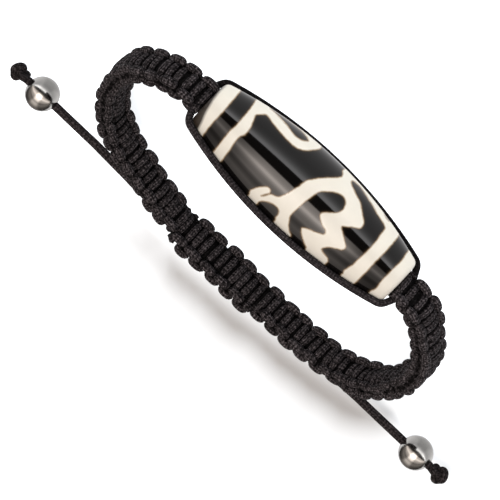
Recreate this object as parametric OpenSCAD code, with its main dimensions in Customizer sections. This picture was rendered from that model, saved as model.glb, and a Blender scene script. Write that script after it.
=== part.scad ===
// Adjustable cord bracelet with a long barrel-shaped agate bead.
// The loop lies on its side, the bead in front (-Y) and the sliding knot behind (+Y).
// Right is +X as seen from the front. All sizes are in millimetres.

/* [Bead] */
// Length of the agate bead along its hole
bead_len = 41.5; // [38:0.5:41.5]
// Diameter of the bead at its middle
bead_d = 14.8; // [13:0.2:14.8]
// Radius of the lengthwise curve of the bead's side
bead_curve = 70; // [64:1:90]
// Radius of the rounding round each end face
bead_round = 1.2; // [0.8:0.1:2]
// Diameter of the hole along the bead
bead_bore = 2.2; // [2:0.1:3]

/* [Knotted bands] */
// Width of a knotted band, along the wrist's axis
band_w = 6.5; // [6:0.1:6.8]
// Thickness of a knotted band, across the loop
band_t = 3.6; // [3.2:0.1:3.8]
// Full square knots in the right band
right_knots = 19; // [14:1:20]
// Full square knots in the left band
left_knots = 20; // [14:1:21]
// Depth of the ribs that the knots make, as a share of the band's half size
rib_depth = 0.16; // [0:0.02:0.2]

/* [Sliding knot] */
// Length of the sliding knot
slide_len = 18; // [16:0.5:18]
// Width of the sliding knot
slide_w = 7.5; // [7:0.1:7.6]
// Thickness of the sliding knot
slide_t = 4.2; // [4:0.1:4.4]
// Half square knots in the sliding knot
slide_half_knots = 11; // [8:1:12]

/* [Cords] */
// Diameter of the braided cord that ties the knots and lies along the bead
cord_d = 1.2; // [1:0.1:1.3]
// Diameter of a braided pull cord
pull_d = 1.5; // [1.2:0.1:1.5]
// Diameter of the bundle of core cords in the bead's hole
core_d = 1.8; // [1.4:0.1:1.9]

/* [Stop beads and end knots] */
// Diameter of a steel stop bead
stop_d = 6; // [5:0.5:6]
// Diameter of the hole through a stop bead
stop_bore = 1.8; // [1.7:0.1:2]
// Diameter of one lobe of an end knot
lobe_d = 2.6; // [2:0.1:2.8]

/* [Placing] */
// Lean of the loop, with the lower side cord and the sliding knot on the ground, in degrees
lean = 6.8; // [6.5:0.1:6.8]
// Shift of the loop to the right, so that it is centred over the origin
shift_x = -0.8; // [-1:0.1:0]
// Shift of the loop to the back, so that it is centred over the origin
shift_y = 2.6; // [2:0.1:3]

/* [Hidden] */

cord_black = [0.12, 0.11, 0.11];
agate_brown = [0.22, 0.18, 0.15];
steel = [0.75, 0.75, 0.73];

// Distance from the middle of the loop to the bead's axis, and to the sliding knot
half_loop = 20.5;
// Distance of the bead's middle to the right of the loop's middle
bead_x = 0.4;
// Clearance between a cord and the bead that it lies on, and between its end and the band it runs into
touch_gap = 0.05;
end_gap = 0.1;
// Distance from the bead's axis at which a side cord ends, beside the core cord
side_end_r = 0.95;
// Sides of a swept cord and of a swept band
cord_sides = 8;
band_sides = 16;
// Rings in each half knot of a band
rings_a_half_knot = 3;
// Fullness of a band's outline: 2 is an ellipse, more is squarer
band_fullness = 2.6;
// Size of a band's end face as a share of its full size, and the length of that taper
end_share = 0.9;
end_taper = 1;

// Loop frame: x to the right, y to the back, z up, with the bead's axis at y = -half_loop.
// The bands begin beyond the side cords, which lie across the bead's end faces
core_half = bead_len / 2 + touch_gap + cord_d;
right_from = bead_x + core_half + end_gap;
left_from = bead_x - core_half - end_gap;
// Middle line of the right band, from the bead to the sliding knot
right_route = [[right_from, -20.5], [25, -20.5], [28.4, -19], [31.5, -16.4], [33.8, -12.6], [34.8, -7.6],
               [34.7, -2.4], [33.7, 2.6], [31.9, 7], [29, 10.8], [25.5, 13.5], [21.5, 15.6],
               [17.6, 17.3], [14.9, 18.6], [12.2, 19.3]];
// Middle line of the left band, from the bead to the sliding knot
left_route = [[left_from, -20.5], [-24, -20.5], [-27.2, -17.8], [-29.8, -14], [-31.8, -9.8], [-33, -4.9],
              [-33.2, 0.1], [-32.5, 5.2], [-31, 10], [-28.5, 14.2], [-25, 17.2], [-20.5, 18.8],
              [-15.5, 19.5], [-10.8, 19.6], [-6.9, 19.6]];
// Right end of the sliding knot along x
slide_right_x = 11.6;

// Routes of the two pull cords where they lie, from the sliding knot to the end knot
right_pull = [[10.9, 24.4, 3.7], [13, 24.4, 3.7], [15.5, 24.4, 3.6], [18, 24.3, 3.5], [20.5, 24.3, 3.4],
              [23, 24.2, 3.3], [25.5, 24.2, 3.2], [28, 24.2, 3.1], [30.5, 24.2, 3], [33, 24.2, 3],
              [35.5, 24.2, 3], [38, 24.2, 3], [40.5, 24.2, 3], [43, 24.2, 3], [46.3, 24.2, 3]];
left_pull = [[-7.3, 24.8, 3.7], [-9.5, 24.8, 3.7], [-12.5, 24.8, 3.6], [-15.5, 24.9, 3.5], [-18.5, 25, 3.4],
             [-21.5, 25.1, 3.3], [-24.5, 25.2, 3.2], [-27.5, 25.3, 3.1], [-30.5, 25.3, 3], [-33.5, 25.3, 3],
             [-36.5, 25.3, 3], [-39.5, 25.3, 3], [-42, 25.3, 3], [-44.4, 25.3, 3], [-47.7, 25.3, 3]];
// Point of a pull cord's route at the middle of its stop bead, and the one where its end knot begins
stop_point = 13;
knot_point = 14;
// Depth of an end knot's lobes behind its flat face
lobe_set = 1;

// Radius of the bead at a distance x from its middle
function bead_r(x) = sqrt(bead_curve * bead_curve - x * x) - bead_curve + bead_d / 2;
// Centre of the rounding at the bead's end, and the angle at which it meets the side
round_x = bead_len / 2 - bead_round;
round_r = sqrt(pow(bead_curve - bead_round, 2) - round_x * round_x) - bead_curve + bead_d / 2;
round_from = asin(round_x / (bead_curve - bead_round));

// Catmull-Rom point between b and c, with a before and d after them
function blend_point(a, b, c, d, t) =
    0.5 * (2 * b + (c - a) * t + (2 * a - 5 * b + 4 * c - d) * t * t + (3 * b - a - 3 * c + d) * t * t * t);
// Smooth line through every point of a route, with n steps between points
function smooth(route, n) =
    let (last = len(route) - 1,
         before = 2 * route[0] - route[1],
         after = 2 * route[last] - route[last - 1],
         ends = concat([before], route, [after]))
    concat([for (i = [0:last - 1], k = [0:n - 1])
        blend_point(ends[i], ends[i + 1], ends[i + 2], ends[i + 3], k / n)], [route[last]]);
// Length along a line up to each of its points
function lengths(line, i = 0, so_far = 0) =
    i == len(line) - 1 ? [so_far] :
    concat([so_far], lengths(line, i + 1, so_far + norm(line[i + 1] - line[i])));
// Direction of a line at point i
function heading(line, i) =
    let (step = line[min(i + 1, len(line) - 1)] - line[max(i - 1, 0)]) step / norm(step);
// The same line with its points at n equal steps of length
function even(line, n) =
    let (l = lengths(line), total = l[len(l) - 1],
         xs = [for (i = [0:len(l) - 1]) [l[i], line[i][0]]],
         ys = [for (i = [0:len(l) - 1]) [l[i], line[i][1]]])
    [for (i = [0:n]) [lookup(total * i / n, xs), lookup(total * i / n, ys)]];

// Share of the full radius at angle a of a band's outline, where turn counts half knots:
// bars cross the two faces at whole turns, and loops stand out by turns at opposite corners
function knot_relief(a, turn) =
    let (bar = cos(360 * turn), corner = sin(2 * a) * sin(180 * turn))
    1 - rib_depth * (0.5 + 0.5 * bar * cos(2 * a)) - rib_depth * max(0, corner);
// The relief's highest share at a band's edges, so that its full width is the stated one
edge_share = 1 - rib_depth / 4;
// Radius of the unit outline at angle a
function full_r(a) =
    pow(pow(abs(cos(a)), band_fullness) + pow(abs(sin(a)), band_fullness), -1 / band_fullness);
// Share of the full size at length s of a band that is total long
function end_share_at(s, total) = min(1, end_share + (1 - end_share) * min(s, total - s) / end_taper);
// Closed outline of a band round the point p of the loop, across its heading h
function band_ring(p, h, w, t, turn, share) =
    [for (k = [0:band_sides - 1])
        let (a = 360 * k / band_sides, r = share * full_r(a) * knot_relief(a, turn), out = r * sin(a) * t / 2)
        [p[0] + out * h[1], p[1] - out * h[0], r * cos(a) * w / 2 / edge_share]];

// Skin over a list of rings that all have the same number of points
module skin(rings) {
    sides = len(rings[0]);
    last = len(rings) - 1;
    polyhedron(
        points = [for (ring = rings, p = ring) p],
        faces = concat(
            [[for (k = [0:sides - 1]) k]],
            [for (i = [0:last - 1], k = [0:sides - 1])
                let (j = (k + 1) % sides)
                [i * sides + k, (i + 1) * sides + k, (i + 1) * sides + j, i * sides + j]],
            [[for (k = [sides - 1:-1:0]) last * sides + k]]));
}

// Knotted band along a route in the loop's plane
module knotted_band(route, half_knots, w, t) {
    n = half_knots * rings_a_half_knot;
    line = even(smooth(route, 8), n);
    total = lengths(line)[n];
    // The end faces stand square to the route's first and last stretch
    first = heading(route, 0);
    last = heading(route, len(route) - 1);
    headings = [for (i = [0:n]) i == 0 ? first : i == n ? last : heading(line, i)];
    skin([for (i = [0:n])
        band_ring(line[i], headings[i], w, t, i / rings_a_half_knot, end_share_at(total * i / n, total))]);
}

// Round cord along a line whose bends all lie across the direction up
module cord(line, d, up) {
    skin([for (i = [0:len(line) - 1])
        let (h = heading(line, i), side = cross(h, up) / norm(cross(h, up)), top = cross(side, h))
        [for (k = [0:cord_sides - 1])
            let (a = 360 * (k + 0.5) / cord_sides)
            line[i] + d / 2 * (cos(a) * side - sin(a) * top)]]);
}

// The loop's frame where the loop lies: leaning, lifted on to the ground and centred
module laid() {
    low = half_loop * sin(lean) - (bead_d / 2 + touch_gap + cord_d / 2) * cos(lean) - cord_d / 2;
    translate([shift_x, shift_y, -low]) rotate([-lean, 0, 0]) children();
}

module dzi_bead() {
    side = [for (i = [-12:12]) let (x = i / 12 * bead_curve * sin(round_from)) [bead_r(x), x]];
    far_end = [for (i = [1:5])
        let (a = round_from + (90 - round_from) * i / 5)
        [round_r + bead_round * cos(a), round_x + bead_round * sin(a)]];
    near_end = [for (i = [4:-1:0]) [far_end[i][0], -far_end[i][1]]];
    color(agate_brown)
        laid() translate([bead_x, -half_loop, 0]) rotate([0, 90, 0])
            rotate_extrude($fn = 48)
                polygon(concat([[bead_bore / 2, -bead_len / 2]], near_end, side, far_end,
                    [[bead_bore / 2, bead_len / 2]]));
}

module core_cord() {
    color(cord_black)
        laid() translate([bead_x - core_half, -half_loop, 0]) rotate([0, 90, 0])
            cylinder(d = core_d, h = 2 * core_half, $fn = 24);
}

// Side cord over the bead: along its side, round the rounding of its end and in to the core cord
module side_cord(up_or_down) {
    off = cord_d / 2 + touch_gap;
    half_line = concat(
        [for (i = [0:9])
            let (a = round_from * i / 9)
            [(bead_curve + off) * sin(a), (bead_curve + off) * cos(a) - bead_curve + bead_d / 2]],
        [for (i = [1:6])
            let (a = round_from + (90 - round_from) * i / 6)
            [round_x + (bead_round + off) * sin(a), round_r + (bead_round + off) * cos(a)]],
        [[bead_len / 2 + off, side_end_r]]);
    last = len(half_line) - 1;
    line = concat(
        [for (i = [last:-1:1]) [-half_line[i][0], 0, up_or_down * half_line[i][1]]],
        [for (p = half_line) [p[0], 0, up_or_down * p[1]]]);
    color(cord_black)
        laid() translate([bead_x, -half_loop, 0])
            cord(line, cord_d, [0, 1, 0]);
}

module band_right() {
    color(cord_black) laid() knotted_band(right_route, 2 * right_knots, band_w, band_t);
}

module band_left() {
    color(cord_black) laid() knotted_band(left_route, 2 * left_knots, band_w, band_t);
}

module sliding_knot() {
    route = [[slide_right_x - slide_len, half_loop], [slide_right_x, half_loop]];
    color(cord_black) laid() knotted_band(route, slide_half_knots, slide_w, slide_t);
}

module pull_cord(route) {
    color(cord_black) cord(route, pull_d, [0, 0, 1]);
}

// Steel bead on a pull cord, with its hole along the cord
module stop_bead(at) {
    rim = asin(stop_bore / stop_d);
    color(steel)
        translate(at) rotate([0, 90, 0])
            rotate_extrude($fn = 48)
                polygon([for (i = [0:16])
                    let (a = rim + (180 - 2 * rim) * i / 16)
                    [stop_d / 2 * sin(a), -stop_d / 2 * cos(a)]]);
}

// Overhand knot: two lobes, a wrap and a cut end behind a flat face at the end of the cord
module end_knot(at, out) {
    color(cord_black)
        translate(at) rotate([0, 0, out > 0 ? 0 : 180]) difference() {
            union() {
                translate([lobe_set, -0.5, 0.3]) sphere(d = lobe_d, $fn = 24);
                translate([lobe_set + 1, 0.6, -0.4]) sphere(d = lobe_d, $fn = 24);
                translate([lobe_set + 1, 0.2, -0.5]) rotate([0, 70, 25])
                    cylinder(d = cord_d, h = 2.8, $fn = 16);
            }
            translate([-lobe_d, -lobe_d, -lobe_d]) cube([lobe_d, 2 * lobe_d, 2 * lobe_d]);
        }
}

dzi_bead();
core_cord();
side_cord(1);  // side_cord_upper
side_cord(-1);  // side_cord_lower
band_right();
band_left();
sliding_knot();
pull_cord(right_pull);  // pull_cord_right
pull_cord(left_pull);  // pull_cord_left
stop_bead(right_pull[stop_point]);  // stop_bead_right
stop_bead(left_pull[stop_point]);  // stop_bead_left
end_knot(right_pull[knot_point], 1);  // end_knot_right
end_knot(left_pull[knot_point], -1);  // end_knot_left
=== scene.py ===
# Cord bracelet with a long agate bead, two knotted bands, a sliding knot and steel stop beads.
# The loop lies on its side: the bead in front (-Y), the sliding knot behind (+Y).
# Sizes are in metres. The points of the cords' routes are in millimetres.
import math

import bmesh
import bpy
import numpy as np
from mathutils import Matrix, Vector


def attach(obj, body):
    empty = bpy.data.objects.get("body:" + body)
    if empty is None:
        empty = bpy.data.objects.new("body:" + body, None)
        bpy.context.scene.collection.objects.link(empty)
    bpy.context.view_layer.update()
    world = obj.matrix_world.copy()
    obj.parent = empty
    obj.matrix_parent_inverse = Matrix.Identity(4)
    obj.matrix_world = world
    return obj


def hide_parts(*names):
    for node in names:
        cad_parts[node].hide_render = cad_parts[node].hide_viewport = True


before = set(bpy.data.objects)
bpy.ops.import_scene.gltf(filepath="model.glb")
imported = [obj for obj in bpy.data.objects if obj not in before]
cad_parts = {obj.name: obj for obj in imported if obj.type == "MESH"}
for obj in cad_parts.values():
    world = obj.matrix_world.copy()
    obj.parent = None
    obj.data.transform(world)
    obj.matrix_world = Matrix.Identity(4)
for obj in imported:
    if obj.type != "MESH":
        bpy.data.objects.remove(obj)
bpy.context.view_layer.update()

# Camera
# The photograph looks at the bracelet from 32 degrees above the ground, with the camera rolled right over,
# so that the bead runs from lower right to upper left. The image is 500 pixels wide and high.
LOOKS_AT = Vector((-0.0005, 0.01124, 0.00514))
FROM_BRACELET = Vector((0, -0.8499, 0.5269)).normalized()
CAMERA_DISTANCE = 0.6
PIXELS_PER_METRE = 6050
IMAGE_WIDTH = 500
SENSOR_WIDTH = 36
ROLL = math.radians(43.5)


def in_scene(name, data):
    """A new object with this data, in the scene."""
    thing = bpy.data.objects.new(name, data)
    bpy.context.collection.objects.link(thing)
    return thing


bead_line = Vector((-1, 0, 0))
over_bead = FROM_BRACELET.cross(bead_line).normalized()
image_right = math.cos(ROLL) * bead_line + math.sin(ROLL) * over_bead
image_up = FROM_BRACELET.cross(image_right)
camera_data = bpy.data.cameras.new("camera")
camera_data.sensor_width = SENSOR_WIDTH
camera_data.lens = SENSOR_WIDTH * PIXELS_PER_METRE * CAMERA_DISTANCE / IMAGE_WIDTH
camera_data.clip_start = 0.01
camera_data.clip_end = 10
camera = in_scene("camera", camera_data)
camera.matrix_world = Matrix.Translation(LOOKS_AT + CAMERA_DISTANCE * FROM_BRACELET) @ Matrix(
    (image_right, image_up, FROM_BRACELET)).transposed().to_4x4()
bpy.context.scene.camera = camera
bpy.context.scene.view_settings.view_transform = "Standard"

# Pull cords
# The two ends of the core leave the sliding knot and are pulled to tighten the bracelet.
# Braided black nylon cord, 1.5 mm thick and straight because it is stiff. At its end are a bead and a knot.
PULL_CORD = 0.0015
RIGHT_PULL = [Vector(point) / 1000 for point in [
    (10.9, 24.4, 3.7), (13, 24.4, 3.7), (15.5, 24.4, 3.6), (18, 24.3, 3.5), (20.5, 24.3, 3.4),
    (23, 24.2, 3.3), (25.5, 24.2, 3.2), (28, 24.2, 3.1), (30.5, 24.2, 3), (33, 24.2, 3),
    (35.5, 24.2, 3), (38, 24.2, 3), (40.5, 24.2, 3), (43, 24.2, 3), (46.3, 24.2, 3)]]
LEFT_PULL = [Vector(point) / 1000 for point in [
    (-7.3, 24.8, 3.7), (-9.5, 24.8, 3.7), (-12.5, 24.8, 3.6), (-15.5, 24.9, 3.5), (-18.5, 25, 3.4),
    (-21.5, 25.1, 3.3), (-24.5, 25.2, 3.2), (-27.5, 25.3, 3.1), (-30.5, 25.3, 3), (-33.5, 25.3, 3),
    (-36.5, 25.3, 3), (-39.5, 25.3, 3), (-42, 25.3, 3), (-44.4, 25.3, 3), (-47.7, 25.3, 3)]]
STOP_POINT = 13
# How far the strands of the braid, and the yarns in them, rise above its middle, as shares of its relief
STRAND_RELIEF, YARN_RELIEF = 0.26, 0.08


def place(tree, kind, inputs=(), **settings):
    """A node in a tree, with its settings, and its inputs by name or number, as values or sockets to link."""
    node = tree.nodes.new(kind)
    for name, value in settings.items():
        setattr(node, name, value)
    for key, value in dict(inputs).items():
        if isinstance(value, bpy.types.NodeSocket):
            tree.links.new(value, node.inputs[key])
        else:
            node.inputs[key].default_value = value
    return node


def calc(tree, operation, *values):
    """The result of a Math node."""
    return place(tree, "ShaderNodeMath", enumerate(values), operation=operation).outputs[0]


def aim(tree, operation, *values):
    """The vector that a Vector Math node puts out, or its number for a dot product."""
    node = place(tree, "ShaderNodeVectorMath", operation=operation)
    for socket, value in zip([s for s in node.inputs if s.enabled], values):
        if isinstance(value, bpy.types.NodeSocket):
            tree.links.new(value, socket)
        else:
            socket.default_value = value
    return node.outputs[1 if operation == "DOT_PRODUCT" else 0]


def mix(tree, share, one, other, blend="MIX"):
    """The colour that a Mix node puts out: this share of the way from one to the other."""
    return place(tree, "ShaderNodeMix", {0: share, 6: one, 7: other},
                 data_type="RGBA", blend_type=blend).outputs[2]


def speckle(tree, scale, detail, roughness=0.5):
    """Uneven values from 0 to 1 all over a piece, fixed to it."""
    return place(tree, "ShaderNodeTexNoise", {
        "Vector": place(tree, "ShaderNodeTexCoord").outputs["Object"],
        "Scale": scale, "Detail": detail, "Roughness": roughness}).outputs["Fac"]


def new_group(name, kind, inputs, outputs):
    """A node group with these named sockets, and the sockets of its input and output nodes."""
    tree = bpy.data.node_groups.new(name, kind)
    for label, socket, value in inputs:
        item = tree.interface.new_socket(label, in_out="INPUT", socket_type=socket)
        if value is not None:
            item.default_value = value
    for label, socket in outputs:
        tree.interface.new_socket(label, in_out="OUTPUT", socket_type=socket)
    return tree, tree.nodes.new("NodeGroupInput").outputs, tree.nodes.new("NodeGroupOutput").inputs


def remember(tree, geometry, values):
    """A node that keeps named values with the points of a geometry, each a socket type and a socket."""
    keeper = tree.nodes.new("GeometryNodeCaptureAttribute")
    for label, (socket_type, source) in values.items():
        keeper.capture_items.new(socket_type, label)
    tree.links.new(geometry, keeper.inputs["Geometry"])
    for label, (socket_type, source) in values.items():
        tree.links.new(source, keeper.inputs[label])
    return keeper.outputs


# Skin of a cord: an oval round every point of a line, half as wide and as thick as two vectors say.
# The attribute braid holds where a point is round the cord, and how far along it.
oval_tree, given, result = new_group(
    "Oval round a line", "GeometryNodeTree",
    [("Line", "NodeSocketGeometry", None), ("Half width", "NodeSocketVector", None),
     ("Half thickness", "NodeSocketVector", None), ("Sides", "NodeSocketInt", 16)],
    [("Skin", "NodeSocketGeometry")])
here = oval_tree.nodes.new("GeometryNodeInputPosition").outputs[0]
so_far = oval_tree.nodes.new("GeometryNodeSplineParameter").outputs["Length"]
on_line = remember(oval_tree, given["Line"], {
    "Middle": ("VECTOR", here), "Wide": ("VECTOR", given["Half width"]),
    "Thick": ("VECTOR", given["Half thickness"]), "Along": ("FLOAT", so_far)})
ring = place(oval_tree, "GeometryNodeCurvePrimitiveCircle", {
    "Resolution": given["Sides"], "Radius": 1.0}, mode="RADIUS")
on_ring = remember(oval_tree, ring.outputs["Curve"], {"Spot": ("VECTOR", here)})
tube = place(oval_tree, "GeometryNodeCurveToMesh", {
    "Curve": on_line["Geometry"], "Profile Curve": on_ring["Geometry"], "Fill Caps": True})
spot = place(oval_tree, "ShaderNodeSeparateXYZ", {0: on_ring["Spot"]}).outputs
beside = aim(oval_tree, "ADD", on_line["Middle"], aim(oval_tree, "SCALE", on_line["Wide"], spot[0]))
skin_spot = aim(oval_tree, "ADD", beside, aim(oval_tree, "SCALE", on_line["Thick"], spot[1]))
skinned = place(oval_tree, "GeometryNodeSetPosition", {"Geometry": tube.outputs[0], "Position": skin_spot})
braid_at = place(oval_tree, "ShaderNodeCombineXYZ", {0: spot[0], 1: spot[1], 2: on_line["Along"]})
kept = place(oval_tree, "GeometryNodeStoreNamedAttribute", {
    "Geometry": skinned.outputs[0], "Name": "braid", "Value": braid_at.outputs[0]},
    data_type="FLOAT_VECTOR", domain="POINT")
oval_tree.links.new(kept.outputs[0], result[0])


def smooth_line(tree, route):
    """A smooth line through the points of a route."""
    curve = place(tree, "GeometryNodeCurveSplineType", {"Curve": route}, spline_type="CATMULL_ROM")
    return place(tree, "GeometryNodeSetSplineResolution", {
        "Geometry": curve.outputs[0], "Resolution": 16}).outputs[0]


def skin_round(tree, line, wide, thick, sides):
    """The skin of a cord along a line."""
    skin = place(tree, "GeometryNodeGroup", node_tree=oval_tree)
    for label, source in [("Line", line), ("Half width", wide), ("Half thickness", thick), ("Sides", sides)]:
        tree.links.new(source, skin.inputs[label])
    return skin.outputs[0]


def end_tree(tree, shape, finish, result):
    """The end of a tree: its shape made real, with its finish."""
    real = place(tree, "GeometryNodeRealizeInstances", {0: shape})
    finished = place(tree, "GeometryNodeSetMaterial", {"Geometry": real.outputs[0], "Material": finish})
    tree.links.new(finished.outputs[0], result[0])


# A plain round cord along a smooth line through the points of a route
cord_tree, given, result = new_group(
    "Braided cord", "GeometryNodeTree",
    [("Route", "NodeSocketGeometry", None), ("Diameter", "NodeSocketFloat", 0.0012),
     ("Step", "NodeSocketFloat", 0.0003), ("Sides", "NodeSocketInt", 20),
     ("Finish", "NodeSocketMaterial", None)],
    [("Cord", "NodeSocketGeometry")])
line = place(cord_tree, "GeometryNodeResampleCurve", {
    "Curve": smooth_line(cord_tree, given["Route"]), "Length": given["Step"]}, mode="LENGTH")
half = calc(cord_tree, "MULTIPLY", given["Diameter"], 0.5)
beside = cord_tree.nodes.new("GeometryNodeInputNormal").outputs[0]
above = aim(cord_tree, "CROSS_PRODUCT", cord_tree.nodes.new("GeometryNodeInputTangent").outputs[0], beside)
skin = skin_round(cord_tree, line.outputs[0], aim(cord_tree, "SCALE", beside, half),
                  aim(cord_tree, "SCALE", above, half), given["Sides"])
end_tree(cord_tree, skin, given["Finish"], result)


def turn_outwards(shape):
    """Makes a mesh smooth, with its faces outwards."""
    fine = bmesh.new()
    fine.from_mesh(shape)
    bmesh.ops.recalc_face_normals(fine, faces=fine.faces)
    fine.to_mesh(shape)
    fine.free()
    shape.shade_smooth()


def grow(name, tree, route, **sizes):
    """A plain mesh piece that a tree makes along the points of a route."""
    curve = bpy.data.curves.new(name, "CURVE")
    curve.dimensions = "3D"
    spline = curve.splines.new("POLY")
    spline.points.add(len(route) - 1)
    for point, at in zip(spline.points, route):
        point.co = (*at, 1)
    source = in_scene(name + "_route", curve)
    maker = source.modifiers.new("maker", "NODES")
    maker.node_group = tree
    sockets = {item.name: item.identifier for item in tree.interface.items_tree if item.in_out == "INPUT"}
    for label, value in sizes.items():
        maker[sockets[label.replace("_", " ")]] = value
    shape = bpy.data.meshes.new_from_object(source.evaluated_get(bpy.context.evaluated_depsgraph_get()))
    source.modifiers.remove(maker)
    bpy.data.objects.remove(source)
    shape.name = name
    turn_outwards(shape)
    return in_scene(name, shape)


# The braid's relief, from the attribute braid: strands that run round both ways and pass over each other.
# Shade is that relief as painted light: a painted highlight on the raised strands, painted shade in the
# grooves.
# Outside grows from 0 deep between knotted cords to 1 on their backs, from the attribute above_core. It masks
# the painted shade in the creases, and a piece without that attribute, such as the core, counts as deep.
braid_look, given, result = new_group(
    "Braid", "ShaderNodeTree",
    [("Strands", "NodeSocketFloat", 5.0), ("Lay", "NodeSocketFloat", 0.0013)],
    [("Height", "NodeSocketFloat"), ("Shade", "NodeSocketFloat"), ("Outside", "NodeSocketFloat")])
braid_spot = place(braid_look, "ShaderNodeSeparateXYZ", {
    0: place(braid_look, "ShaderNodeAttribute", attribute_name="braid").outputs["Vector"]}).outputs
round_cord = calc(braid_look, "ARCTAN2", braid_spot[1], braid_spot[0])
turn = calc(braid_look, "MULTIPLY", round_cord, given["Strands"])
lays = calc(braid_look, "DIVIDE", braid_spot[2], given["Lay"])
climb = calc(braid_look, "MULTIPLY", lays, 2 * math.pi)
one_way = calc(braid_look, "SINE", calc(braid_look, "ADD", climb, turn))
other_way = calc(braid_look, "SINE", calc(braid_look, "SUBTRACT", climb, turn))
crossed = calc(braid_look, "MULTIPLY", one_way, other_way)
yarn = calc(braid_look, "SINE", calc(
    braid_look, "ADD", calc(braid_look, "MULTIPLY", climb, 3.0), calc(braid_look, "MULTIPLY", turn, 2.0)))
strands = calc(braid_look, "MULTIPLY", crossed, STRAND_RELIEF)
height = calc(braid_look, "ADD", strands, calc(braid_look, "MULTIPLY", yarn, YARN_RELIEF))
fibres = speckle(braid_look, 3200.0, 2.0)
uneven = calc(braid_look, "MULTIPLY", calc(braid_look, "SUBTRACT", fibres, 0.5), 2.0)
relief = calc(braid_look, "ADD", calc(braid_look, "ADD", height, 0.5), uneven)
braid_look.links.new(relief, result["Height"])
raised = place(braid_look, "ShaderNodeClamp", {0: relief}).outputs[0]
braid_look.links.new(calc(braid_look, "POWER", raised, 2.5), result["Shade"])
outside = place(braid_look, "ShaderNodeMapRange", {
    "Value": place(braid_look, "ShaderNodeAttribute", attribute_name="above_core").outputs["Fac"],
    "From Min": 0.00012, "From Max": 0.00055}, interpolation_type="SMOOTHSTEP")
braid_look.links.new(outside.outputs[0], result["Outside"])


def new_finish(name):
    """A new material, its node tree and its shader."""
    finish = bpy.data.materials.new(name)
    finish.use_nodes = True
    return finish, finish.node_tree, finish.node_tree.nodes["Principled BSDF"]


def cord_finish(name, lay, relief, dark, light, painted_crease_shade=0.0):
    """Black braided nylon, dull, with a painted highlight on its raised strands and painted shade between
    them and where cords press together.
    """
    finish, tree, shader = new_finish(name)
    braid = place(tree, "ShaderNodeGroup", {"Lay": lay}, node_tree=braid_look)
    # Painted highlight and shade: the colour goes from dark in the braid's grooves to light on its raised
    # strands
    tone = mix(tree, braid.outputs["Shade"], (*dark, 1), (*light, 1))
    # Painted shade: the colour loses this share of itself deep between knotted cords, where cords press
    # together, and on the core
    kept_light = place(tree, "ShaderNodeMapRange", {"Value": braid.outputs["Outside"], "To Min": 1 - painted_crease_shade})
    tree.links.new(aim(tree, "SCALE", tone, kept_light.outputs[0]), shader.inputs["Base Color"])
    bump = place(tree, "ShaderNodeBump", {
        "Height": braid.outputs["Height"], "Strength": 1.0, "Distance": relief})
    tree.links.new(bump.outputs[0], shader.inputs["Normal"])
    shader.inputs["Roughness"].default_value = 0.62
    shader.inputs["Specular IOR Level"].default_value = 0.07
    return finish


pull_finish = cord_finish("pull cord nylon", lay=0.0013, relief=0.00013,
                          dark=(0.006, 0.005, 0.0055), light=(0.070, 0.060, 0.065))
pull_right = grow("pull_cord_right_braid", cord_tree, RIGHT_PULL, Diameter=PULL_CORD, Finish=pull_finish)
pull_left = grow("pull_cord_left_braid", cord_tree, LEFT_PULL, Diameter=PULL_CORD, Finish=pull_finish)

# End knots
# An overhand knot pulled tight against each stop bead keeps it on the cord, with a short cut end.
# It is tied in the pull cord itself, which is squeezed a little thinner in the knot.
KNOT_CORD = 0.0014
KNOT_MIDDLE = 0.0021
KNOT_LOOP = 0.00042
KNOT_DEPTH = 0.00058
KNOT_LEAD = 0.0008
KNOT_CUT_END = 0.0001, 0.0008, 0.0002
KNOT_POINTS = 48


def overhand(start, out):
    """Line of an overhand knot that begins at start and runs outwards along X: a trefoil, left open."""
    line = [start - Vector((out * KNOT_LEAD, 0, 0)), start]
    for i in range(3, KNOT_POINTS - 1):
        turn = math.pi + 2 * math.pi * i / KNOT_POINTS
        across = math.sin(turn) + 2 * math.sin(2 * turn)
        away = math.cos(turn) - 2 * math.cos(2 * turn)
        deep = -math.sin(3 * turn)
        line.append(start + Vector((
            out * (KNOT_MIDDLE + KNOT_LOOP * away), -KNOT_LOOP * across, KNOT_DEPTH * deep)))
    back, front, down = KNOT_CUT_END
    line.append(line[-1] - Vector((out * back, front, down)))
    return line


knot_finish = cord_finish("end knot nylon", lay=0.0013, relief=0.00013,
                          dark=(0.004, 0.0034, 0.0038), light=(0.060, 0.052, 0.056))
knot_right = grow("end_knot_right_cord", cord_tree, overhand(RIGHT_PULL[-1], 1),
                  Diameter=KNOT_CORD, Step=0.0002, Finish=knot_finish)
knot_left = grow("end_knot_left_cord", cord_tree, overhand(LEFT_PULL[-1], -1),
                 Diameter=KNOT_CORD, Step=0.0002, Finish=knot_finish)

# Stop beads
# A drilled ball of stainless steel, 6 mm across, threaded on each pull cord.
# It is turned and polished, with a softened rim round each end of its hole.
STOP_BALL = 0.006
STOP_HOLE = 0.0018
STOP_RIM = 0.00012
STOP_ARC = 48
STOP_SIDES = 96


def spun(name, outline, middle, front, top, sides):
    """A closed mesh piece: half a section, as distances along X and out from it, spun round that line."""
    turns = [2 * math.pi * k / sides for k in range(sides)]
    corners = [middle + Vector((x, 0, 0)) + r * (math.cos(a) * front + math.sin(a) * top)
               for a in turns for x, r in outline]
    n = len(outline)
    faces = [(k * n + i, k * n + (i + 1) % n, (k + 1) % sides * n + (i + 1) % n, (k + 1) % sides * n + i)
             for k in range(sides) for i in range(n)]
    shape = bpy.data.meshes.new(name)
    shape.from_pydata(corners, [], faces)
    turn_outwards(shape)
    return in_scene(name, shape)


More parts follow.
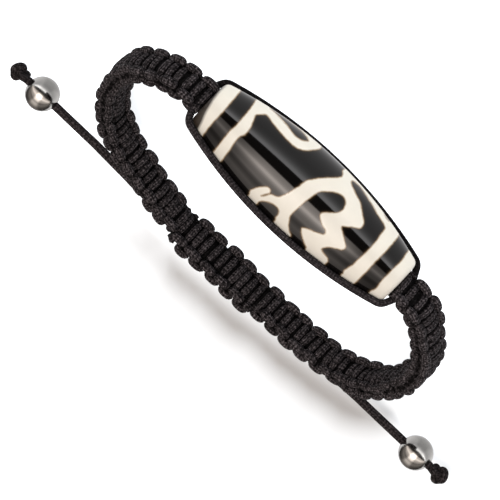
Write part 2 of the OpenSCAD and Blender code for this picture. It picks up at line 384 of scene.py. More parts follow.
def steel_ball(name, middle):
    """A drilled ball with its hole along X, and a narrow slope round each end of the hole."""
    radius, hole = STOP_BALL / 2, STOP_HOLE / 2
    first = math.asin((hole + STOP_RIM) / radius)
    turns = [first + (math.pi - 2 * first) * i / STOP_ARC for i in range(STOP_ARC + 1)]
    ball = [(radius * math.cos(a), radius * math.sin(a)) for a in turns]
    end = ball[0][0]
    rim = [(end - 1.3 * STOP_RIM, hole), (end - 0.5 * STOP_RIM, hole + 0.25 * STOP_RIM)]
    outline = rim + ball + [(-x, r) for x, r in reversed(rim)]
    return spun(name, outline, middle, Vector((0, 1, 0)), Vector((0, 0, 1)), STOP_SIDES)


steel_finish, tree, shader = new_finish("polished steel")
shader.inputs["Metallic"].default_value = 1
faint = speckle(tree, 1400.0, 4.0)
steel_tone = mix(tree, faint, (0.39, 0.385, 0.37, 1), (0.45, 0.445, 0.43, 1))
tree.links.new(steel_tone, shader.inputs["Base Color"])
steel_rough = place(tree, "ShaderNodeMapRange", {"Value": faint, "To Min": 0.14, "To Max": 0.22})
tree.links.new(steel_rough.outputs[0], shader.inputs["Roughness"])
stop_right = steel_ball("stop_bead_right_ball", RIGHT_PULL[STOP_POINT])
stop_left = steel_ball("stop_bead_left_ball", LEFT_PULL[STOP_POINT])
for ball in (stop_right, stop_left):
    ball.data.materials.append(steel_finish)

for cord, knot, ball, route, side in [(pull_right, knot_right, stop_right, RIGHT_PULL, "right"),
                                      (pull_left, knot_left, stop_left, LEFT_PULL, "left")]:
    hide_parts("pull_cord_" + side)
    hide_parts("end_knot_" + side)
    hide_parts("stop_bead_" + side)
    for piece, slot in [(cord, "cord"), (knot, "cord"), (ball, "steel")]:
        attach(piece, "root")

# Agate bead
# A barrel of agate, 41.5 mm long, ground and polished, with a hole drilled along it.
# Its cream bands and figures are etched white into the dark stone, as on traditional beads of this kind.
BEAD_LENGTH = 0.0415
BEAD_X = 0.0004
BEAD_THICKNESS = 0.0148
BEAD_CURVE = 0.070
BEAD_ROUNDING = 0.0012
BEAD_HOLE = 0.0022
BEAD_SIDES = 208
LEAN = math.radians(6.8)
HALF_LOOP = 0.0205
LOOP_AT = Vector((-0.0008, 0.0026, 0.006166))


def laid(x, y, z):
    """A point of the loop, where the loop lies on its side, leans by 6.8 degrees and rests on the ground."""
    return LOOP_AT + Vector((
        x, y * math.cos(LEAN) + z * math.sin(LEAN), z * math.cos(LEAN) - y * math.sin(LEAN)))


def bead_outline(off, flank_steps, last_turn, corner_steps):
    """Half of the bead's outline, this far off the stone: from its middle on, and round its end's corner."""
    rounding_x = BEAD_LENGTH / 2 - BEAD_ROUNDING
    flank = math.asin(rounding_x / (BEAD_CURVE - BEAD_ROUNDING))
    rounding_r = (BEAD_CURVE - BEAD_ROUNDING) * math.cos(flank) - BEAD_CURVE + BEAD_THICKNESS / 2
    curve, rounding = BEAD_CURVE + off, BEAD_ROUNDING + off
    side = [(curve * math.sin(a), curve * math.cos(a) - BEAD_CURVE + BEAD_THICKNESS / 2)
            for a in [flank * i / flank_steps for i in range(flank_steps + 1)]]
    turns = [flank + (last_turn - flank) * i / corner_steps for i in range(1, corner_steps + 1)]
    return side + [(rounding_x + rounding * math.sin(a), rounding_r + rounding * math.cos(a)) for a in turns]


def bead_section():
    """Half of the bead's section, closed: distances along it and out from the middle of its hole."""
    side = bead_outline(off=0, flank_steps=110, last_turn=math.pi / 2, corner_steps=22)
    outer = side[-1][1]
    face = [(BEAD_LENGTH / 2, outer + (BEAD_HOLE / 2 - outer) * i / 6) for i in range(1, 7)]
    hole = [(BEAD_LENGTH / 2 * (1 - i / 8), BEAD_HOLE / 2) for i in range(1, 9)]
    half = side + face
    return [(-x, r) for x, r in reversed(half[1:])] + half + hole + [(-x, r) for x, r in reversed(hole[:-1])]


# Outlines of the dark figures as the photograph shows them, in its pixels: along the bead, and up from the
# image's middle once the bead is turned level. The rest is etched cream, as far as CAP reaches along it.
# An etched edge wavers within EDGE_WAVER.
EDGE_WAVER = 1.2
DARK_FIGURES = {
    "left band": [
        (-116, 140), (-116, 110), (-115.5, 100), (-115, 90), (-114.5, 80), (-114.5, 70), (-114, 60),
        (-113, 50), (-112.5, 15), (-94, 15), (-94.5, 47), (-95.5, 60), (-96.8, 73), (-96, 80), (-96.5, 90),
        (-97, 100), (-98.5, 110), (-99.5, 116), (-99.5, 140)],
    "field": [
        (-81.5, 15), (-82, 44), (-82.5, 50), (-83.5, 60), (-85, 66), (-85.5, 72), (-85, 76), (-83, 80),
        (-83, 85), (-84, 90), (-86, 95), (-88.5, 102), (-86, 105), (-83, 108), (-81, 109.3), (-77, 109),
        (-70, 107.5), (-60, 106.3), (-50, 105.5), (-40, 105.5), (-35, 106.5), (-30, 109), (-25, 113.5),
        (-20, 119.5), (-18.5, 123), (-19, 140), (12, 140), (12.5, 122), (15, 119), (16, 116.5),
        (13.5, 113), (10, 109.5), (5, 104.5), (0, 99), (-4, 93.5), (-6.5, 90), (-8, 85), (-8.5, 80),
        (-10, 75), (-11, 70), (-12.5, 65), (-15, 60), (-17, 57.5), (-20, 56.3), (-22.5, 55.3),
        (-24.3, 53.6), (-27.5, 48.5), (-29.3, 47), (-28, 49.5), (-24.9, 54.5), (-25.7, 57), (-28.5, 58.4),
        (-31.5, 57.5), (-35, 54), (-38, 50.5), (-39.5, 47), (-41, 44), (-40, 41), (-39, 38), (-39, 15)],
    "arch": [
        (-26, 15), (-26.5, 38), (-26, 42), (-24, 44.5), (-20, 47), (-15, 49), (-10, 49.5), (-6, 48),
        (-4, 44), (-4, 41), (-2.5, 38), (-2.5, 15)],
    "hooked figure": [
        (10, 89), (12, 92), (16, 95.5), (20, 99), (25, 101.8), (30, 103), (34, 102), (37.5, 99), (39, 96),
        (39.5, 93.5), (38.5, 89), (36, 85.5), (32, 82), (28, 78.5), (26.2, 76), (27, 73), (30, 70.5),
        (35, 68), (38.5, 67), (41, 66.3), (43, 64), (42, 61.5), (38, 59.5), (33, 57.3), (28, 55.5),
        (24, 53.5), (22.2, 51.5), (24, 49), (27.5, 46), (33, 43), (37, 41), (39.5, 38.5), (40, 15),
        (21, 15), (20, 38), (17, 40), (14, 42), (11, 44.5), (8.5, 48), (6, 52), (5.5, 57), (6, 62),
        (6.2, 66), (6.5, 72), (8, 79), (9, 85)],
    "wedge figure": [
        (26.5, 119.5), (28, 121.2), (35, 121.6), (43, 120.3), (52, 118), (60, 116), (68, 113.5), (75, 112),
        (80, 110.5), (83, 108.5), (83.5, 105), (84, 100), (85, 95), (85.5, 90), (85.5, 80), (85, 70),
        (84.5, 60), (83, 54), (82, 50), (83.5, 47), (83, 44), (83, 15), (64.5, 15), (64.5, 40),
        (64.5, 44.5), (63, 47), (60, 48), (55, 48.5), (51.5, 49.5), (52, 52), (54, 55), (58, 58),
        (62, 60.5), (66, 63), (68, 66), (66.5, 69), (62, 72), (57, 75.5), (53, 78), (50.5, 80.3), (54, 83),
        (58, 86.5), (62, 89), (65, 91.5), (65.5, 94), (64, 98), (60, 101.5), (55, 105), (50, 109),
        (45, 111.5), (40, 113), (35, 115), (30, 117)],
    "sliver": [
        (72, 119.6), (76, 117.4), (80, 116.6), (82, 117.5), (80.5, 119), (77, 120)],
    "right band": [
        (98, 140), (98, 116), (98.5, 112), (99, 106), (99.5, 95), (99.5, 85), (99.3, 75), (99.5, 65),
        (99.3, 55), (99, 47), (99, 15), (115, 15), (115.5, 51.5), (117, 56), (117.5, 60), (116.5, 70),
        (116.5, 80), (117, 90), (117, 98), (116, 103), (115.5, 107), (115, 111), (115, 140)],
    "lens": [
        (-83, 117.2), (-75, 118.7), (-65, 120.2), (-55, 121.5), (-45, 121.8), (-38, 121.2), (-33.5, 119.8),
        (-33, 119), (-36, 116.5), (-40, 115), (-46, 114), (-52, 115), (-60, 116.3), (-70, 117), (-78, 117)],
}
# Beyond CAP the bead is painted dark brown: bare stone on its end faces, and painted shade over the rounding
# of the +X end, where CAP slants in
CAP = [(-134, 140), (-131, 103), (-131, 95), (-130, 85), (-128.5, 78), (-126, 68), (-123, 60), (-121, 53),
       (-119, 45), (-117, 15), (133, 15), (132, 60), (132, 100), (130, 140)]


def rounded(outline, steps=5, tilt=0.35):
    """Closed outline through the same points, as a smooth line."""
    p = np.array(outline, float)
    before, after, later = np.roll(p, 1, 0), np.roll(p, -1, 0), np.roll(p, -2, 0)
    t = np.arange(steps)[None, :, None] / steps
    b, c = p[:, None], after[:, None]
    tilt_b, tilt_c = tilt * (after - before)[:, None], tilt * (later - p)[:, None]
    from_b = (2 * t**3 - 3 * t**2 + 1) * b + (t**3 - 2 * t**2 + t) * tilt_b
    return (from_b + (3 * t**2 - 2 * t**3) * c + (t**3 - t**2) * tilt_c).reshape(-1, 2)


def inside_by(points, outline):
    """How far inside a closed outline each point is, and outside it as a negative number."""
    a, b = outline, np.roll(outline, -1, 0)
    edge = b - a
    length = np.maximum((edge**2).sum(1), 1e-9)
    nearest = np.full(len(points), 1e9)
    inside = np.zeros(len(points), bool)
    for k in range(len(a)):
        away = points - a[k]
        share = np.clip(away @ edge[k] / length[k], 0, 1)
        nearest = np.minimum(nearest, np.hypot(*(away - share[:, None] * edge[k]).T))
        crosses = (a[k, 1] > points[:, 1]) != (b[k, 1] > points[:, 1])
        if crosses.any() and edge[k, 1] != 0:
            inside ^= crosses & (away[:, 0] < away[:, 1] * edge[k, 0] / edge[k, 1])
    return np.where(inside, nearest, -nearest)


bead_middle = laid(BEAD_X, -HALF_LOOP, 0)
bead = spun("dzi_bead_stone", bead_section(), bead_middle, FROM_BRACELET, over_bead, BEAD_SIDES)
# The half that faces away from the photograph carries the same figures, mirrored, so that they meet all round
at = np.array([corner.co for corner in bead.data.vertices]) - np.array(LOOKS_AT)
bead_depth = np.array(bead_middle - LOOKS_AT) @ np.array(FROM_BRACELET)
depth = at @ np.array(FROM_BRACELET)
scale = PIXELS_PER_METRE * CAMERA_DISTANCE / (CAMERA_DISTANCE - bead_depth - np.abs(depth - bead_depth))
seen = np.stack([at @ np.array(bead_line) * scale, at @ np.array(over_bead) * scale], axis=1)
dark = np.max([inside_by(seen, rounded(figure)) for figure in DARK_FIGURES.values()], axis=0)
for name, values in [("etched", -dark), ("capped", inside_by(seen, rounded(CAP)))]:
    layer = bead.data.attributes.new(name, "FLOAT", "POINT")
    layer.data.foreach_set("value", np.clip(values, -30, 30).astype(np.float32))

agate, tree, shader = new_finish("etched agate")
etched = place(tree, "ShaderNodeAttribute", attribute_name="etched").outputs["Fac"]
capped = place(tree, "ShaderNodeAttribute", attribute_name="capped").outputs["Fac"]
waver = calc(tree, "SUBTRACT", speckle(tree, 1500.0, 3.0), 0.5)
edge = calc(tree, "ADD", etched, calc(tree, "MULTIPLY", waver, EDGE_WAVER))
# From dark stone over a brown edge to cream, by the distance from the etched edge
tones = place(tree, "ShaderNodeValToRGB", {0: calc(tree, "MULTIPLY_ADD", edge, 0.1, 0.5)})
ramp = tones.color_ramp
ramp.elements[0].position = 0.20
ramp.elements[0].color = (0.0026, 0.0023, 0.0022, 1)
ramp.elements[1].position = 0.64
ramp.elements[1].color = (0.655, 0.648, 0.592, 1)
for position, colour in [(0.35, (0.010, 0.0072, 0.0045, 1)), (0.44, (0.050, 0.034, 0.020, 1)),
                         (0.51, (0.26, 0.20, 0.13, 1)), (0.57, (0.52, 0.475, 0.40, 1))]:
    ramp.elements.new(position).color = colour
cloud = speckle(tree, 260.0, 5.0, 0.7)
grey = place(tree, "ShaderNodeMapRange", {
    "Value": cloud, "From Min": 0.3, "From Max": 0.75, "To Min": 1.0, "To Max": 0.93})
mottle = mix(tree, 1.0, tones.outputs[0], grey.outputs[0], "MULTIPLY")
# Dark brown beyond CAP: bare stone, and painted shade on the +X end's rounding
bare_and_shaded_ends = place(tree, "ShaderNodeMapRange", {"Value": capped, "From Min": 1.5, "From Max": -1.5})
ends = mix(tree, bare_and_shaded_ends.outputs[0], mottle, (0.022, 0.016, 0.011, 1))
tree.links.new(ends, shader.inputs["Base Color"])
polish = place(tree, "ShaderNodeMapRange", {"Value": cloud, "To Min": 0.05, "To Max": 0.09})
# Etching leaves the cream less polished than the stone
gloss = place(tree, "ShaderNodeMapRange", {
    "Value": edge, "From Min": 0.3, "From Max": 2.0, "To Min": polish.outputs[0], "To Max": 0.42})
tree.links.new(gloss.outputs[0], shader.inputs["Roughness"])
shader.inputs["IOR"].default_value = 1.54
bead.data.materials.append(agate)
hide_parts("dzi_bead")
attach(bead, "root")

# Core and side cords
# Two core strands run through the bead's hole from band to band, and one knotting cord lies along each side
# of the bead. All are braided black nylon, tied into the bands at both ends of the bead: the side cords are
# 1.2 mm thick, and the strands are squeezed to 1 mm in the hole.
SIDE_CORD = 0.0012
CORE_STRAND = 0.00104
TOUCH_GAP = 0.00005
SIDE_TURN = math.radians(66)
SIDE_RUNS = 0.0008, 0.0018, 0.0028
# A strand's points: how far along the bead, in bead lengths from its middle, and how far off its hole's line
STRAND_ROUTE = [(-0.535, 0.0006), (-0.51, 0.00056), (-0.49, 0.00053), (-0.25, 0.00053), (0, 0.00053),
                (0.25, 0.00053), (0.49, 0.00053), (0.51, 0.00056), (0.535, 0.0006)]


def side_line(up):
    """Line of a side cord: along the bead's flank, round its ends, and slanting into the first knots."""
    half = bead_outline(off=SIDE_CORD / 2 + TOUCH_GAP, flank_steps=9, last_turn=SIDE_TURN, corner_steps=4)
    x, r = half[-1]
    half += [(x + run * math.cos(SIDE_TURN), r - run * math.sin(SIDE_TURN)) for run in SIDE_RUNS]
    both = [(-x, r) for x, r in reversed(half[1:])] + half
    return [laid(BEAD_X + x, -HALF_LOOP, up * r) for x, r in both]


side_finish = cord_finish("side cord nylon", lay=0.0011, relief=0.00012,
                          dark=(0.008, 0.0068, 0.0075), light=(0.074, 0.066, 0.072))
# The lower side cord gets a darker copy of the same nylon: painted shade, as it lies underneath in shade
lower_shaded_finish = cord_finish("lower side cord nylon, painted shade", lay=0.0011, relief=0.00012,
                           dark=(0.001, 0.0009, 0.001), light=(0.022, 0.019, 0.021))
for up, where, finish in [(1, "upper", side_finish), (-1, "lower", lower_shaded_finish)]:
    side_cord = grow("side_cord_" + where + "_braid", cord_tree, side_line(up),
                     Diameter=SIDE_CORD, Finish=finish)
    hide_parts("side_cord_" + where)
    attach(side_cord, "root")

strands = []
for up in (1, -1):
    route = [laid(BEAD_X + BEAD_LENGTH * x, -HALF_LOOP, up * z) for x, z in STRAND_ROUTE]
    strands.append(grow("core_strand", cord_tree, route, Diameter=CORE_STRAND, Finish=side_finish))
core = strands[0]
with bpy.context.temp_override(active_object=core, selected_editable_objects=strands):
    bpy.ops.object.join()
core.name = core.data.name = "core_cord_strands"
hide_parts("core_cord")
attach(core, "root")

# Knotted bands and sliding knot
# Square knots: two working cords of braided black nylon, tied by turns over and under flat core strands.
# The sliding knot is tied the same way round the ends of both bands, a little wider, and can slide.
RIGHT_ROUTE = [(21.25, -20.5), (25, -20.5), (28.4, -19), (31.5, -16.4), (33.8, -12.6), (34.8, -7.6),
               (34.7, -2.4), (33.7, 2.6), (31.9, 7), (29, 10.8), (25.5, 13.5), (21.5, 15.6), (17.6, 17.3),
               (14.9, 18.6), (11.7, 19.4)]
LEFT_ROUTE = [(-20.45, -20.5), (-24, -20.5), (-27.2, -17.8), (-29.8, -14), (-31.8, -9.8), (-33, -4.9),
              (-33.2, 0.1), (-32.5, 5.2), (-31, 10), (-28.5, 14.2), (-25, 17.2), (-20.5, 18.8), (-15.5, 19.5),
              (-10.8, 19.6), (-6.5, 19.6)]
SLIDE_ROUTE = [(-6.6, 20.5), (-2, 20.5), (2.6, 20.5), (7, 20.5), (11.8, 20.5)]
BAND_WIDTH, BAND_THICKNESS = 0.0065, 0.0036
SLIDE_WIDTH, SLIDE_THICKNESS = 0.0075, 0.0042
WORKING_CORD = 0.00142
# Each end is drawn in over this many half knots, at the route's far end to this share of the full width
DRAWN_IN, FAR_SHARE = 0.3, 0.8
# How squarely the cords cross the core, and how steeply and early they dive from one face to the other
SQUARE, DIVE, EARLY = 1.4, 1.6, 0.48
# Half knots by which a cord is held back or ahead along the band, so that it crosses the core straight
STRAIGHTENED = 0.159
# How far inside the band's edges and faces the middle of a cord stays, and the core, in cord widths
EDGE_INSET, BAR_INSET, LOOP_INSET = 0.64, 0.46, 0.54
CORE_EDGE_INSET, CORE_FACE_INSET = 0.62, 0.5
CORE_STEP = 0.0005

knot_tree, given, result = new_group(
    "Square knots", "GeometryNodeTree",
    [("Route", "NodeSocketGeometry", None), ("Half knots", "NodeSocketInt", 36),
     ("Width", "NodeSocketFloat", 0.0065), ("Thickness", "NodeSocketFloat", 0.0036),
     ("Cord", "NodeSocketFloat", 0.0012), ("Across", "NodeSocketVector", (0, 0, 1)),
     ("Hook", "NodeSocketFloat", 0.21), ("Start share", "NodeSocketFloat", 0.6),
     ("Unevenness", "NodeSocketFloat", 0.0012), ("Seed", "NodeSocketFloat", 1.0),
     ("Steps", "NodeSocketInt", 28), ("Sides", "NodeSocketInt", 16), ("Finish", "NodeSocketMaterial", None)],
    [("Knots", "NodeSocketGeometry")])
route_line = smooth_line(knot_tree, given["Route"])
total = place(knot_tree, "GeometryNodeCurveLength", {"Curve": route_line}).outputs[0]
pitch = calc(knot_tree, "DIVIDE", total, given["Half knots"])
index = knot_tree.nodes.new("GeometryNodeInputIndex").outputs[0]
turn = calc(knot_tree, "SUBTRACT", calc(knot_tree, "DIVIDE", index, given["Steps"]), 0.5)
to_start = calc(knot_tree, "ADD", turn, 0.5)
to_end = calc(knot_tree, "SUBTRACT", calc(knot_tree, "SUBTRACT", given["Half knots"], 0.5), turn)


def drawn_in(distance, least):
    """Grows from least to 1 over the first stretch of a distance from an end."""
    return place(knot_tree, "ShaderNodeMapRange", {"Value": distance, "From Max": DRAWN_IN, "To Min": least},
                 interpolation_type="SMOOTHSTEP").outputs[0]


open_width = calc(knot_tree, "MINIMUM", drawn_in(to_start, given["Start share"]), drawn_in(to_end, FAR_SHARE))
tucked = drawn_in(calc(knot_tree, "MINIMUM", to_start, to_end), 0.0)
swing = calc(knot_tree, "SINE", calc(knot_tree, "MULTIPLY", turn, math.pi))
squared = calc(knot_tree, "TANH", calc(knot_tree, "MULTIPLY", swing, SQUARE))
sway = calc(knot_tree, "DIVIDE", squared, math.tanh(SQUARE))
whole_turn = calc(knot_tree, "MULTIPLY", turn, 2 * math.pi)
wave = calc(knot_tree, "COSINE", whole_turn)
slip = calc(knot_tree, "SINE", whole_turn)
# Along the band, a cord crosses straight over the core and hooks back only near the band's edges
hook = calc(knot_tree, "MULTIPLY_ADD", calc(knot_tree, "SUBTRACT", 1.0, wave), given["Hook"], STRAIGHTENED)
hooked = calc(knot_tree, "MULTIPLY", slip, hook)
# Each bar dives early on its way out, under the loop of the other cord that holds its end down. The dive is
# stretched so that it still reaches from 1 on a bar to -1 on a loop.
on_bar, on_loop = math.tanh(DIVE - EARLY), math.tanh(-DIVE - EARLY)
stretch = 2 / (on_bar - on_loop)
dive = calc(knot_tree, "TANH", calc(knot_tree, "MULTIPLY_ADD", wave, DIVE, -EARLY))
flat_wave = calc(knot_tree, "MULTIPLY_ADD", dive, stretch, 1 - stretch * on_bar)


def inset(size, cords):
    """Half of the band's width or thickness, less this many cord widths."""
    return calc(knot_tree, "SUBTRACT", calc(knot_tree, "MULTIPLY", given[size], 0.5),
                calc(knot_tree, "MULTIPLY", given["Cord"], cords))


def squeezed(between, lying, bar):
    """Half a cord's size one way: between the faces, with more where it lies on one, and less on a bar."""
    flat = calc(knot_tree, "MULTIPLY_ADD", calc(knot_tree, "MULTIPLY", wave, wave), lying, between)
    return calc(knot_tree, "MULTIPLY", given["Cord"], calc(
        knot_tree, "SUBTRACT", flat, calc(knot_tree, "MULTIPLY", wave, bar)))


half_width = inset("Width", EDGE_INSET)
bar_out = inset("Thickness", BAR_INSET)
loop_out = inset("Thickness", LOOP_INSET)
middle_out = calc(knot_tree, "MULTIPLY", calc(knot_tree, "SUBTRACT", bar_out, loop_out), 0.5)
swing_out = calc(knot_tree, "MULTIPLY", calc(knot_tree, "ADD", bar_out, loop_out), 0.5)
cord_wide = squeezed(between=0.43, lying=0.09, bar=0.04)
cord_thick = squeezed(between=0.49, lying=-0.01, bar=0.03)
count = calc(knot_tree, "ADD", calc(knot_tree, "MULTIPLY", given["Half knots"], given["Steps"]), 1.0)
# The flat core between the cords shows only in the gaps between knots, as a dark ground: its finish paints it
# with the shade of the creases
core_line = place(knot_tree, "GeometryNodeResampleCurve", {
    "Curve": route_line, "Length": CORE_STEP}, mode="LENGTH")
ahead = knot_tree.nodes.new("GeometryNodeInputTangent").outputs[0]
facing = aim(knot_tree, "CROSS_PRODUCT", ahead, given["Across"])
core_skin = skin_round(knot_tree, core_line.outputs[0],
                       aim(knot_tree, "SCALE", given["Across"], inset("Width", CORE_EDGE_INSET)),
                       aim(knot_tree, "SCALE", facing, inset("Thickness", CORE_FACE_INSET)), given["Sides"])
above_core = place(knot_tree, "GeometryNodeProximity", {0: core_skin}, target_element="FACES")
knot_parts = [core_skin]
for side in (1.0, -1.0):
    # Each cord is uneven in its own way
    own_place = place(knot_tree, "ShaderNodeCombineXYZ", {0: turn, 1: given["Seed"], 2: 7.3 * side})
    jitter = place(knot_tree, "ShaderNodeTexNoise", {
        "Vector": own_place.outputs[0], "Scale": 0.9, "Detail": 1.0})
    from_even = aim(knot_tree, "SUBTRACT", jitter.outputs["Color"], (0.5, 0.5, 0.5))
    off = place(knot_tree, "ShaderNodeSeparateXYZ", {
        0: aim(knot_tree, "SCALE", from_even, given["Unevenness"])}).outputs
    along = calc(knot_tree, "ADD", off[2], calc(
        knot_tree, "MULTIPLY", pitch, calc(knot_tree, "SUBTRACT", to_start, hooked)))
    on_route = place(knot_tree, "GeometryNodeSampleCurve", {
        "Curves": route_line, "Length": along}, mode="LENGTH", use_all_curves=True).outputs
    outwards = aim(knot_tree, "NORMALIZE", aim(
        knot_tree, "CROSS_PRODUCT", on_route["Tangent"], given["Across"]))
    swayed = calc(knot_tree, "MULTIPLY", calc(knot_tree, "MULTIPLY", sway, side), half_width)
    sideways = calc(knot_tree, "MULTIPLY", swayed, open_width)
    risen = calc(knot_tree, "MULTIPLY", calc(
        knot_tree, "MULTIPLY_ADD", swing_out, flat_wave, middle_out), side)
    upwards = calc(knot_tree, "MULTIPLY", risen, tucked)
    across_by = aim(knot_tree, "SCALE", given["Across"], calc(knot_tree, "ADD", sideways, off[0]))
    out_by = aim(knot_tree, "SCALE", outwards, calc(knot_tree, "ADD", upwards, off[1]))
    middle = aim(knot_tree, "ADD", aim(knot_tree, "ADD", on_route["Position"], across_by), out_by)
    straight = place(knot_tree, "GeometryNodeCurvePrimitiveLine", {"End": (1, 0, 0)})
    points = place(knot_tree, "GeometryNodeResampleCurve", {
        "Curve": straight.outputs[0], "Count": count}, mode="COUNT")
    cord_line = place(knot_tree, "GeometryNodeSetPosition", {
        "Geometry": points.outputs[0], "Position": middle})
    # The cord's flat side faces away from the core
    lean_across = aim(knot_tree, "SCALE", given["Across"], calc(knot_tree, "DIVIDE", sideways, half_width))
    lean_out = aim(knot_tree, "SCALE", outwards, calc(knot_tree, "DIVIDE", upwards, swing_out))
    away = aim(knot_tree, "ADD", lean_across, lean_out)
    ahead = knot_tree.nodes.new("GeometryNodeInputTangent").outputs[0]
    part_ahead = aim(knot_tree, "SCALE", ahead, aim(knot_tree, "DOT_PRODUCT", away, ahead))
    top = aim(knot_tree, "NORMALIZE", aim(knot_tree, "SUBTRACT", away, part_ahead))
    beside = aim(knot_tree, "CROSS_PRODUCT", ahead, top)
    skin = skin_round(knot_tree, cord_line.outputs[0], aim(knot_tree, "SCALE", beside, cord_wide),
                      aim(knot_tree, "SCALE", top, cord_thick), given["Sides"])
    marked = place(knot_tree, "GeometryNodeStoreNamedAttribute", {
        "Geometry": skin, "Name": "above_core", "Value": above_core.outputs["Distance"]},
        data_type="FLOAT", domain="POINT")
    knot_parts.append(marked.outputs[0])
joined = knot_tree.nodes.new("GeometryNodeJoinGeometry")
for part in knot_parts:
    knot_tree.links.new(part, joined.inputs[0])
end_tree(knot_tree, joined.outputs[0], given["Finish"], result)

# Much painted shade in its creases and on the core, which darkens them to less than a tenth
knot_finish = cord_finish("knotted nylon", lay=0.0011, relief=0.00016,
                          dark=(0.002, 0.0017, 0.0019), light=(0.135, 0.122, 0.133), painted_crease_shade=0.93)
bands = []
for node, route, half_knots, width, thickness, start_share, seed in [
        ("band_right", RIGHT_ROUTE, 38, BAND_WIDTH, BAND_THICKNESS, 0.98, 1.0),
        ("band_left", LEFT_ROUTE, 40, BAND_WIDTH, BAND_THICKNESS, 0.98, 2.0),
        ("sliding_knot", SLIDE_ROUTE, 11, SLIDE_WIDTH, SLIDE_THICKNESS, 0.8, 3.0)]:
    band = grow(node + "_knots", knot_tree, [laid(x / 1000, y / 1000, 0) for x, y in route],
                Half_knots=half_knots, Width=width, Thickness=thickness, Cord=WORKING_CORD,
                Across=(0, math.sin(LEAN), math.cos(LEAN)), Start_share=start_share, Seed=seed,
                Finish=knot_finish)
    bands.append(band)
    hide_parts(node)
    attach(band, "root")

# Floor
# A plain pale floor that reaches past the picture's edges on all sides.
# It is left out of mirror images and bounced light, so that the bracelet sees only the room.
FLOOR_REACH = 3
floor_shape = bpy.data.meshes.new("floor")
floor_corners = [(x * FLOOR_REACH, y * FLOOR_REACH, 0) for x, y in [(-1, -1), (1, -1), (1, 1), (-1, 1)]]
floor_shape.from_pydata(floor_corners, [], [(0, 1, 2, 3)])
floor = in_scene("floor", floor_shape)
pale, tree, shader = new_finish("pale floor")
shader.inputs["Roughness"].default_value = 0.8
shader.inputs["Specular IOR Level"].default_value = 0.05
paleness = mix(tree, speckle(tree, 40.0, 2.0), (0.41, 0.425, 0.44, 1), (0.43, 0.445, 0.46, 1))
tree.links.new(paleness, shader.inputs["Base Color"])
floor_shape.materials.append(pale)
floor.visible_glossy = floor.visible_diffuse = False

# Room
# It is lit like a product photograph: a wide soft box above the front, brightest along its middle, and a low
# one in front, with darkness round the camera between them.
# Each pair is an angle round the X axis, in degrees from straight ahead (-Y) over the top to the back, and
# the light from there. Below 0 it is what the pale table gives back.
LIGHT_ROUND = [(-180, 0.9), (-119, 0.86), (-83, 0.68), (-26, 0.50), (-19, 0.54), (-12.6, 0.63), (-6, 0.86),
               (0, 1.36), (6.5, 2.3), (12.6, 2.5), (13.6, 0.03), (38.8, 0.03), (40.5, 3.0), (43, 3.5),
               (49, 3.9), (55, 5.0), (59.5, 7.4), (63, 7.4), (67.7, 4.8), (74, 3.0), (80.6, 2.4), (87.4, 2.4),
               (94.4, 1.1), (101.5, 0.72), (109, 0.9), (117, 1.2), (130, 0.8), (150, 0.3), (180, 0.2)]
BRIGHTEST = max(light for degrees, light in LIGHT_ROUND)
DARK_GAP = 25
UPPER_TINT, LOWER_TINT = (1.0, 0.895, 0.82), (1.0, 0.985, 0.99)
# Towards the sides of the room the upper box fades and the lower light grows to a share of its strength, each
# between two sideways parts of a direction
UPPER_FADES, UPPER_SIDES = (0.18, 0.42), 0.3
LOWER_GROWS, LOWER_SIDES = (0.35, 0.70), 1.4
world = bpy.data.worlds.new("photo studio")
bpy.context.scene.world = world
world.use_nodes = True
tree = world.node_tree
way = place(tree, "ShaderNodeSeparateXYZ", {
    0: place(tree, "ShaderNodeTexCoord").outputs["Generated"]}).outputs
round_x = calc(tree, "ARCTAN2", way[2], calc(tree, "MULTIPLY", way[1], -1.0))
boxes = place(tree, "ShaderNodeValToRGB", {0: calc(tree, "MULTIPLY_ADD", round_x, 0.5 / math.pi, 0.5)})
stops = boxes.color_ramp.elements
for degrees, light in LIGHT_ROUND:
    if abs(degrees) == 180:
        stop = stops[0 if degrees < 0 else -1]
    else:
        stop = stops.new(0.5 + degrees / 360)
    tint, in_upper = (UPPER_TINT, 1) if degrees > DARK_GAP else (LOWER_TINT, 0)
    stop.color = (*[light / BRIGHTEST * part for part in tint], in_upper)
sideways = calc(tree, "ABSOLUTE", way[0])
upper, lower = [place(tree, "ShaderNodeMapRange", {
    "Value": sideways, "From Min": start, "From Max": end, "To Min": 1.0, "To Max": share},
    interpolation_type="SMOOTHSTEP").outputs[0]
    for (start, end), share in ((UPPER_FADES, UPPER_SIDES), (LOWER_GROWS, LOWER_SIDES))]
of_upper = calc(tree, "MULTIPLY", boxes.outputs["Alpha"], calc(tree, "SUBTRACT", upper, lower))
share = calc(tree, "ADD", lower, of_upper)
background = tree.nodes["Background"]
tree.links.new(boxes.outputs["Color"], background.inputs["Color"])
tree.links.new(calc(tree, "MULTIPLY", share, BRIGHTEST), background.inputs["Strength"])

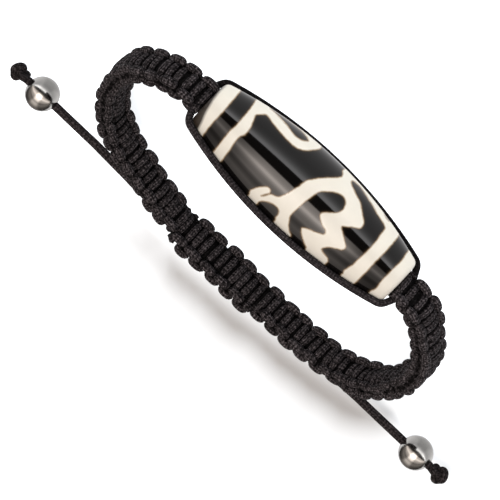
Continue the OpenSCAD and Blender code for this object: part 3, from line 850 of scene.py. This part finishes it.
# Lamps
# The photograph's ground is clear but for one soft shadow behind the knots. So two lamps light the floor
# alone: a low one in front, which only the knotted pieces shade, and one from above, which nothing shades and
# which falls inside the loop and in front of it.
LOW_LIGHT, LOW_SPREAD = 17.0, math.radians(11)
LOW_HEIGHT, LOW_SIDE = math.radians(18), math.radians(7)
LOOP_LIGHT, LOOP_CONE = 31.0, math.radians(36.5)
LOOP_MIDDLE = Vector((0.034, -0.155, 0.6))
# A reflector in front, below the table's edge, fills the bead's lower front alone and shows in no reflection
FILL_LIGHT, FILL_TINT = 1.8, (1.0, 0.96, 0.90)
FILL_BELOW, FILL_AWAY = math.radians(55), 0.5
FILL_WIDTH, FILL_HEIGHT = 0.3, 0.12


def just(name, pieces):
    """A collection of only these pieces, for a lamp to light or to be shaded by."""
    group = bpy.data.collections.new(name)
    for piece in pieces:
        group.objects.link(piece)
    return group


def hang_lamp(name, kind, toward, lit, shades, **settings):
    """A lamp in a direction, which lights some pieces only and is shaded by some only."""
    light = bpy.data.lights.new(name, kind)
    for setting, value in settings.items():
        setattr(light, setting, value)
    lamp = in_scene(name, light)
    lamp.rotation_euler = toward.to_track_quat("Z", "Y").to_euler()
    lamp.light_linking.receiver_collection = lit
    lamp.light_linking.blocker_collection = shades
    return lamp


lit_floor = just("lit by the floor lights", [floor])
hang_lamp("low floor light", "SUN", Vector((math.sin(LOW_SIDE), -math.cos(LOW_SIDE), math.tan(LOW_HEIGHT))),
          lit_floor, just("shades the low floor light", bands), energy=LOW_LIGHT, angle=LOW_SPREAD)
loop = hang_lamp("loop floor light", "SPOT", Vector((0, 0, 1)), lit_floor, lit_floor, energy=LOOP_LIGHT,
                 spot_size=LOOP_CONE, spot_blend=0.05, shadow_soft_size=0.005)
loop.location = LOOP_MIDDLE
toward = Vector((0, -math.cos(FILL_BELOW), -math.sin(FILL_BELOW)))
filled = just("filled from below", [bead])
fill = hang_lamp("low reflector", "AREA", toward, filled, filled, energy=FILL_LIGHT, color=FILL_TINT,
                 shape="RECTANGLE", size=FILL_WIDTH, size_y=FILL_HEIGHT)
fill.location = bead_middle + FILL_AWAY * toward
fill.visible_glossy = False
